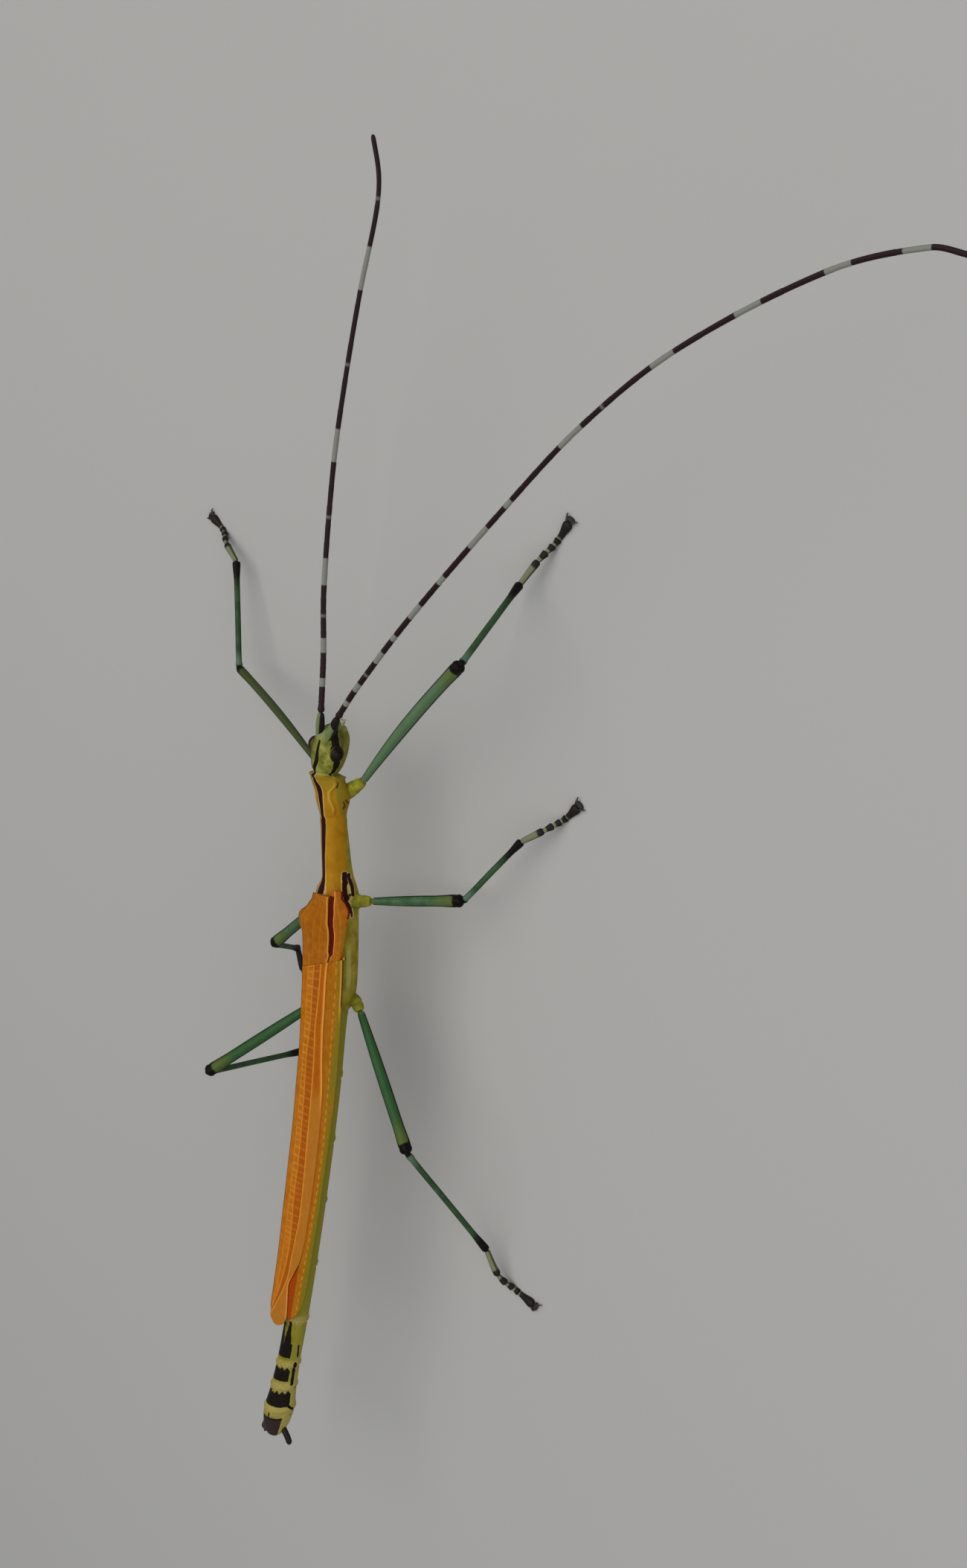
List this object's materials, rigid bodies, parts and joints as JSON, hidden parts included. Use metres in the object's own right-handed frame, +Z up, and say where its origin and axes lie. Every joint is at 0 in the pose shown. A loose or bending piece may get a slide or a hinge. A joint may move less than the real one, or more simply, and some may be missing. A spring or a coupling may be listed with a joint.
{
  "type": "winged stick insect",
  "caption": "Slender winged stick insect in a still standing pose, with folded orange wings, banded feelers and spread legs.",
  "frame": {"origin": "on the floor under the middle of the model's bounding box", "axes": "+X to the insect's right, +Y towards its head, +Z up from the floor"},
  "size_m": [0.0776, 0.1054, 0.0142],
  "materials": {
    "head_cuticle": "smooth waxy olive-green cuticle with dark brown lines",
    "thorax_cuticle": "finely granular ochre-yellow cuticle with a dark maroon line along the back",
    "flank_cuticle": "smooth olive-green cuticle",
    "abdomen_cuticle": "smooth ringed yellow-green cuticle",
    "tail_cuticle": "pale green cuticle with black patches, dark at the very end",
    "eye": "glossy dark red-brown compound eye",
    "mouthparts": "pale cream palps and olive lip",
    "antenna": "very dark red-brown rings with greenish white bands",
    "trochanter": "yellow-green cuticle",
    "femur": "blue-green cuticle with darker edges and a black knee",
    "tibia": "dark blue-green cuticle, black at both ends",
    "tarsus": "black cuticle with narrow pale bands",
    "tegmen": "opaque orange forewing with fine raised veins",
    "hindwing": "orange folded hindwing with lengthwise and ladder-like veins"
  },
  "bodies": {
    "root": {"head": "head_cuticle", "eye_left": "eye", "eye_right": "eye", "mouthparts": "mouthparts", "antenna_left_scape": "antenna", "antenna_left_1": "antenna", "antenna_left_2": "antenna", "antenna_left_3": "antenna", "antenna_right_scape": "antenna", "antenna_right_1": "antenna", "antenna_right_2": "antenna", "antenna_right_3": "antenna", "antenna_right_4": "antenna", "prothorax": "thorax_cuticle", "mesothorax": "thorax_cuticle", "metathorax": "flank_cuticle", "abdomen_front": "abdomen_cuticle", "abdomen_middle": "abdomen_cuticle", "abdomen_rear": "abdomen_cuticle", "abdomen_tip": "tail_cuticle", "fore_left_coxa": "trochanter", "fore_left_femur": "femur", "fore_left_tibia": "tibia", "fore_left_tarsus": "tarsus", "fore_right_coxa": "trochanter", "fore_right_femur": "femur", "fore_right_tibia": "tibia", "fore_right_tarsus": "tarsus", "mid_left_coxa": "trochanter", "mid_left_femur": "femur", "mid_left_tibia": "tibia", "mid_left_tarsus": "tarsus", "mid_right_coxa": "trochanter", "mid_right_femur": "femur", "mid_right_tibia": "tibia", "mid_right_tarsus": "tarsus", "hind_left_coxa": "trochanter", "hind_left_femur": "femur", "hind_left_tibia": "tibia", "hind_left_tarsus": "tarsus", "hind_right_coxa": "trochanter", "hind_right_femur": "femur", "hind_right_tibia": "tibia", "hind_right_tarsus": "tarsus", "tegmen_left": "tegmen", "hindwing_left": "hindwing", "cercus_left": "tail_cuticle", "tegmen_right": "tegmen", "hindwing_right": "hindwing", "cercus_right": "tail_cuticle"}
  },
  "joints": []
}
